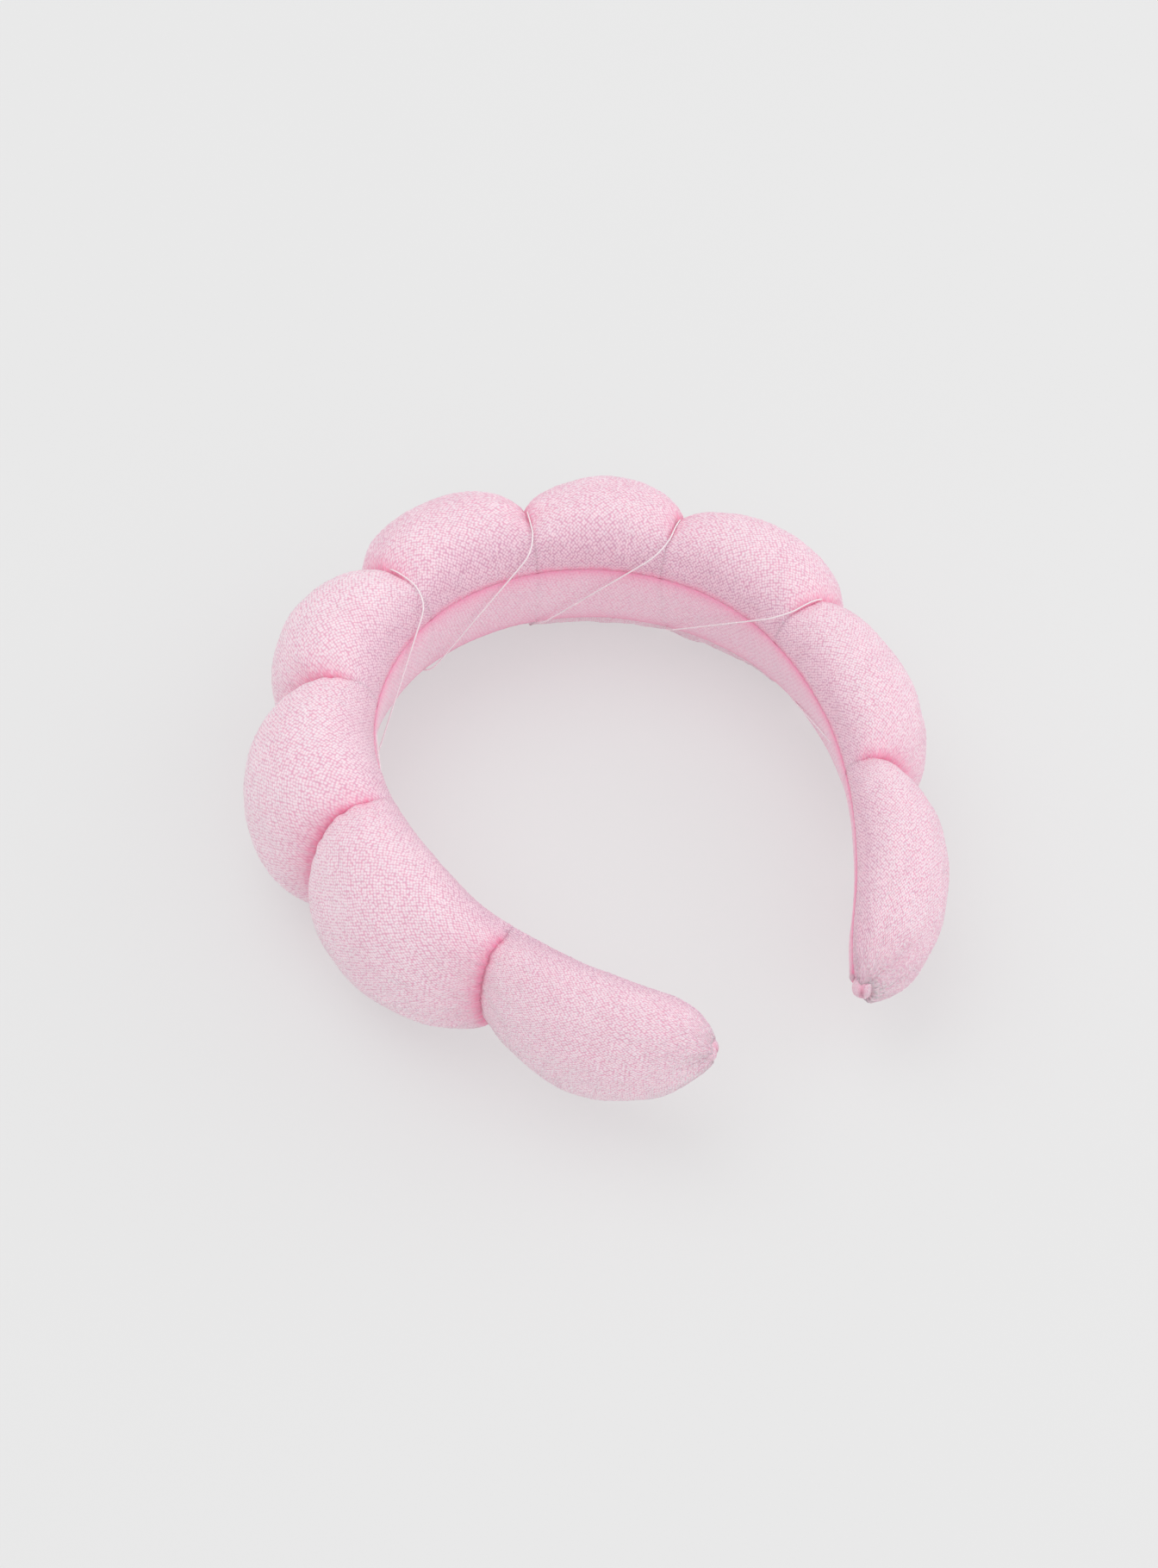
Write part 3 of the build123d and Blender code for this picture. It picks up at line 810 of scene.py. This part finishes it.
for side, row in PUFFS:
    stitches(side, row)


def groove(side, row, end):
    """Loop of the elastic thread at the bottom of the gathers of a pinch, out of sight between two puffs."""
    thick, height = pinch_size(side, row)
    deep = 0.0008
    smaller = [np.array([size - 2 * deep]) for size in (thick, height, PINCH[2])]
    outline = sections(*smaller, GROOVE_COLUMNS)[0][:int(GROOVE_COLUMNS * SEAM_SHARE)]
    t = abs(end - 0.0006 / length_of(side, row))
    return [spot(side, row, t, out + deep, up) for out, up in outline]


def tie_thread(side, row):
    """Elastic thread: round a pinch, up out of its groove and tight across the inner side of a puff."""
    name = body_name(side, row)
    ends = (1, 0) if row == 0 else (1,)
    parts = [tube(groove(side, row, end), THREAD / 2) for end in ends]
    top, bottom = (0.990, 0.010) if side > 0 else (0.010, 0.990)
    seen = (side, row) in THREADS_SEEN
    # along the groove, from high on the pinch down to where the thread leaves it, by columns from the seam
    near = np.array([top - 0.004, top, top + 0.004])
    pinch = puff_points(side, row, near, COLUMNS)
    ridge = pinch[1] + normals_of(pinch)[1] * -side * (2.2 * THREAD if seen else -2 * THREAD)
    way = list(ridge[46:24:-1] if seen else ridge[16:5:-1])
    corner = spot(side, row, top, -0.0015, 0.0222) if seen else way[-1]
    stand = -0.0048 if seen else -0.0026
    low = spot(side, row, bottom, stand, -0.0112)
    way += [corner + (low - corner) * part for part in np.linspace(0.02, 1, 34)]
    way += [spot(side, row, bottom, stand + 0.0070 * part, -0.0112 - 0.0014 * part)
            for part in np.linspace(0.2, 1, 6)]
    way = np.array(way)
    for _ in range(4):
        way[1:-1] = (way[:-2] + way[1:-1] + way[2:]) / 3
    parts.append(tube(way, THREAD / 2))
    points, faces = merge(parts)
    piece = make_piece(f"elastic_{name}", points, faces, name, ELASTIC)
    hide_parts(f"tie_thread_{name}")


tie_thread(1, 0)
for side, row in PUFFS:
    if 0 < row < LAST:
        tie_thread(side, row)


def knot(side):
    """Small overhand knot with two cut tails, tucked into the last pinch of an arm."""
    arm = arm_name(side)
    high = pinch_size(side, LAST - 1)[1] / 2 - 0.0035
    centre = spot(side, LAST - 1, 0.994, 0.0040, -side * high)
    _, out, ahead = path(side, LAST - 1, 1.0)
    axes = np.array([ahead, [0, 0, 1.0], out])
    turn = np.linspace(0, 2 * math.pi, 60)
    # a trefoil loop, then two tails that leave it on opposite sides
    loop = np.stack([np.sin(turn) + 2 * np.sin(2 * turn), np.cos(turn) - 2 * np.cos(2 * turn),
                     -np.sin(3 * turn)], -1) * 0.00036
    parts = [tube(centre + loop @ axes, 0.00026)]
    for sign in (1, -1):
        s = np.linspace(0, 1, 10)[:, None]
        tail = np.hstack([sign * 0.0013 * s + 0.0002, -0.0016 * s ** 2 * sign,
                          -0.0006 - 0.0008 * s * (1 - s)])
        parts.append(tube(centre + tail @ axes, 0.00024))
    points, faces = merge(parts)
    name = body_name(side, LAST - 1)
    piece = make_piece(f"knot_{arm}", points, faces, name, ELASTIC)
    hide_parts(f"thread_knot_{arm}")


# ------------------------------------------------------------------ folded ends of the sleeve
def tip_fold(side):
    """Turned-in end of the sleeve, sewn flat: a soft tab with a crease down its middle."""
    arm = arm_name(side)
    name = body_name(side, LAST)
    rows, columns = 37, 72
    s = np.linspace(0, math.pi, rows)[:, None]
    v = np.linspace(0, 2 * math.pi, columns, endpoint=False)[None, :]
    ahead_by = -np.cos(s) * FOLD[0] + 0 * v
    out_by = np.sin(s) * np.cos(v) * FOLD[1]
    up_by = np.sin(s) * np.sin(v) * FOLD[2]
    crease = np.exp(-(out_by / 0.0007) ** 2) * np.clip(ahead_by / FOLD[0], 0, 1)
    ahead_by = ahead_by - 0.0005 * crease
    noise = lumps(77 + side, rows, columns, (5, 12)) * 0.00030 * np.sin(s)
    point, out, ahead = path(side, LAST, 1.0)
    middle = point - ahead * FOLD[0] / 2 + out * (SEAM_IN + TIP_NOSE[side]) + np.array([0, 0, TIP_RISE[side]])
    points = middle + ahead * ahead_by[..., None] + out * (out_by + noise)[..., None]
    points[..., 2] += up_by + noise
    grain = np.random.RandomState(5 + side).uniform(-1, 1, (rows, columns)) * 2 * FUZZ
    points[1:-1] += (ahead * grain[..., None])[1:-1]
    # painted shade: crease pink down the fold's crease, and a little of it all over the tab
    cavity_shade = np.clip(0.6 * crease + 0.08, 0, 1)
    i, j = np.meshgrid(np.arange(rows), np.arange(columns), indexing="ij")
    weave = np.stack([(i + j) / 2.0, (i - j) / 2.0, 0.0 * i], -1)
    inner = points[1:-1]
    faces = closed_faces(rows - 2, columns, side > 0)
    attributes = {"cavity_shade": np.concatenate([cavity_shade[1:-1].ravel(), [1, 1]]),
                  "weave": np.concatenate([weave[1:-1].reshape(-1, 3), np.zeros((2, 3))])}
    caps = [points[0].mean(0), points[-1].mean(0)]
    piece = make_piece(f"folded_end_{arm}", list(inner.reshape(-1, 3)) + caps, faces, name, COVER,
                       attributes)
    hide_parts(f"tip_fold_{arm}")


for side in (1, -1):
    knot(side)
    tip_fold(side)

# ------------------------------------------------------------------ floor, light and camera
bpy.ops.mesh.primitive_plane_add(size=6.0, location=(0, 0, 0))
floor = bpy.context.object
floor.name = "floor"
floor.data.materials.append(floor_paper("floor"))

world = bpy.data.worlds.new("studio")
bpy.context.scene.world = world
world.use_nodes = True
background = world.node_tree.nodes["Background"]
background.inputs["Color"].default_value = (1.0, 1.0, 1.0, 1.0)
background.inputs["Strength"].default_value = 0.84


def soft_light(name, place, size, power):
    """Round white lamp that faces the middle of the floor."""
    data = bpy.data.lights.new(name, "AREA")
    data.shape = "DISK"
    data.size = size
    data.energy = power
    lamp = bpy.data.objects.new(name, data)
    lamp.location = place
    lamp.rotation_euler = (-Vector(place)).to_track_quat("-Z", "Y").to_euler()
    bpy.context.scene.collection.objects.link(lamp)


soft_light("front", (0.10, -1.30, 0.60), 1.4, 2.6)
soft_light("side", (1.25, -0.20, 0.55), 1.2, 3.0)
soft_light("overhead", (-0.30, 0.55, 1.50), 1.6, 4.8)

camera = bpy.data.objects.new("camera", bpy.data.cameras.new("camera"))
bpy.context.scene.collection.objects.link(camera)
azimuth = math.radians(-30.4)
elevation = math.radians(50.5)
distance = 0.83855
aim = Vector((-0.0060, -0.00353, 0.0250))
back = Vector((math.sin(azimuth) * math.cos(elevation), -math.cos(azimuth) * math.cos(elevation),
               math.sin(elevation)))
camera.location = aim + back * distance
camera.rotation_euler = (-back).to_track_quat("-Z", "Y").to_euler()
camera.data.sensor_fit = "VERTICAL"
camera.data.sensor_height = 36.0
camera.data.lens = 72.26
camera.data.clip_start = 0.01
camera.data.clip_end = 20.0
bpy.context.scene.camera = camera
bpy.context.scene.view_settings.view_transform = "Standard"
